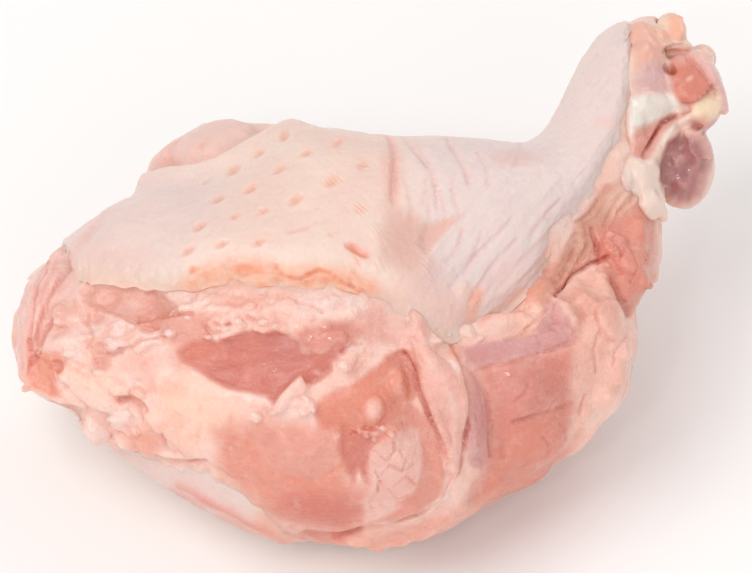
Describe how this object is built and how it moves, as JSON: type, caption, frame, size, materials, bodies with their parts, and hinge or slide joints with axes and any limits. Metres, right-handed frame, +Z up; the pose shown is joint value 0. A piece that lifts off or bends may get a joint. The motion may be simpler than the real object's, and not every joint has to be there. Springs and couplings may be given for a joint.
{
  "type": "raw chicken drumette",
  "caption": "Raw wing drumette: a plump piece of muscle and fat round its arm bone, part wrapped in skin, with the bare knuckle at the narrow end.",
  "frame": {"origin": "under the middle of the bounding box, at the level that the piece lies on", "axes": "+Z up, +X from the cut shoulder end towards the elbow, +Y away from the open cut side"},
  "size_m": [0.079, 0.0608, 0.0352],
  "materials": {
    "raw_flesh": "raw muscle and fat, wet",
    "raw_skin": "raw skin, moist",
    "bone_and_cartilage": "wet cartilage"
  },
  "bodies": {
    "root": {"flesh": "raw_flesh", "skin": "raw_skin", "humerus": "bone_and_cartilage"}
  },
  "joints": []
}
